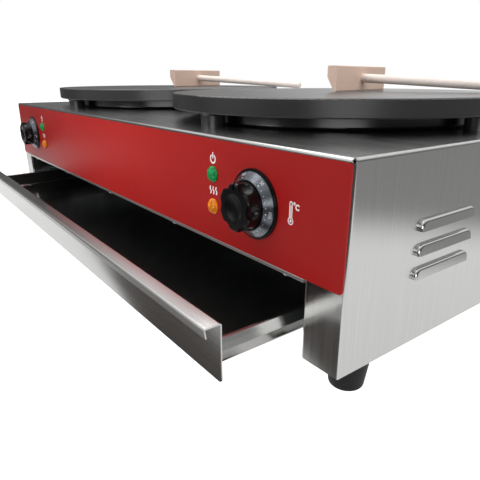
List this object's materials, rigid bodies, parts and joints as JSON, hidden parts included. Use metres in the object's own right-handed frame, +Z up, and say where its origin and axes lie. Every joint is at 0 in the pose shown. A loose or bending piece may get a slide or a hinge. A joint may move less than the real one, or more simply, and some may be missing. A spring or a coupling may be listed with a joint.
{
  "type": "electric crepe maker",
  "caption": "Low stainless crepe maker with round cast plates side by side, a red control fascia, a crumb drawer between its legs and wooden batter spreaders.",
  "frame": {"origin": "on the worktop, under the middle of the whole outline with the drawer as it stands", "axes": "+X to the machine's right-hand side as the cook sees it, +Y to its back, +Z up; the red fascia, the knobs and the drawer face -Y"},
  "size_m": [0.8684, 0.5788, 0.2563],
  "materials": {
    "stainless": "brushed stainless steel",
    "galvanised": "plain galvanised sheet",
    "red_skin": "satin red skin",
    "cast_iron": "machined and seasoned",
    "black_pan": "heat-resistant black",
    "rubber": "matt",
    "zinc_steel": "zinc plated",
    "black_plastic": "matt",
    "ceramic_felt": "ceramic fibre felt",
    "element_sheath": "heat-stained nickel alloy",
    "copper_bulb": "drawn copper",
    "beech_blade": "planed beech",
    "beech_handle": "turned beech",
    "bezel_black": "satin",
    "knob_black": "satin",
    "thermostat_case": "moulded phenolic",
    "green_lens": "clear green",
    "amber_lens": "clear amber",
    "terminal_ceramic": "steatite"
  },
  "bodies": {
    "housing": {"top_deck": "stainless", "side_panel_left": "stainless", "side_panel_right": "stainless", "front_beam": "stainless", "rear_panel": "stainless", "bay_floor": "galvanised", "fascia_panel": "red_skin", "foot_front_left": "rubber", "foot_front_right": "rubber", "foot_rear_left": "rubber", "foot_rear_right": "rubber", "foot_screws": "zinc_steel", "post_bolts": "zinc_steel", "clamp_screws": "zinc_steel", "lamp_bodies": "black_plastic", "gland_locknuts": "black_plastic", "control_screws": "zinc_steel", "beam_screws": "zinc_steel", "rear_screws": "zinc_steel", "drawer_runner_left": "galvanised", "drawer_runner_right": "galvanised", "hotplate_left": "cast_iron", "plate_posts_left": "cast_iron", "heater_pan_left": "black_pan", "insulation_pad_left": "ceramic_felt", "heating_element_left": "element_sheath", "element_clamp_left": "galvanised", "sensor_bulb_left": "copper_bulb", "bezel_left": "bezel_black", "thermostat_left": "thermostat_case", "lens_green_left": "green_lens", "lens_amber_left": "amber_lens", "cable_gland_left": "black_plastic", "terminal_block_left": "terminal_ceramic", "hotplate_right": "cast_iron", "plate_posts_right": "cast_iron", "heater_pan_right": "black_pan", "insulation_pad_right": "ceramic_felt", "heating_element_right": "element_sheath", "element_clamp_right": "galvanised", "sensor_bulb_right": "copper_bulb", "bezel_right": "bezel_black", "thermostat_right": "thermostat_case", "lens_green_right": "green_lens", "lens_amber_right": "amber_lens", "cable_gland_right": "black_plastic", "terminal_block_right": "terminal_ceramic"},
    "drawer": {"drawer_tray": "stainless", "drawer_front": "stainless"},
    "knob_left": {"knob_left": "knob_black", "spindle_left": "zinc_steel"},
    "spreader_left": {"spreader_blade_left": "beech_blade", "spreader_handle_left": "beech_handle"},
    "knob_right": {"knob_right": "knob_black", "spindle_right": "zinc_steel"},
    "spreader_right": {"spreader_blade_right": "beech_blade", "spreader_handle_right": "beech_handle"}
  },
  "joints": [
    {"name": "drawer_slide", "type": "slide", "parent": "housing", "child": "drawer", "axis": [0, -1, 0], "range_m": [-0.0695, 0.25]},
    {"name": "thermostat_left_turn", "type": "hinge", "parent": "housing", "child": "knob_left", "pos_m": [-0.33, -0.2054, 0.145], "axis": [0, 1, 0], "range_deg": [0, 200]},
    {"name": "thermostat_right_turn", "type": "hinge", "parent": "housing", "child": "knob_right", "pos_m": [0.33, -0.2054, 0.145], "axis": [0, 1, 0], "range_deg": [0, 200]},
    {"name": "spreader_left_lift", "type": "slide", "parent": "housing", "child": "spreader_left", "axis": [0, 0, 1], "range_m": [0, 0.15]},
    {"name": "spreader_right_lift", "type": "slide", "parent": "housing", "child": "spreader_right", "axis": [0, 0, 1], "range_m": [0, 0.15]}
  ]
}
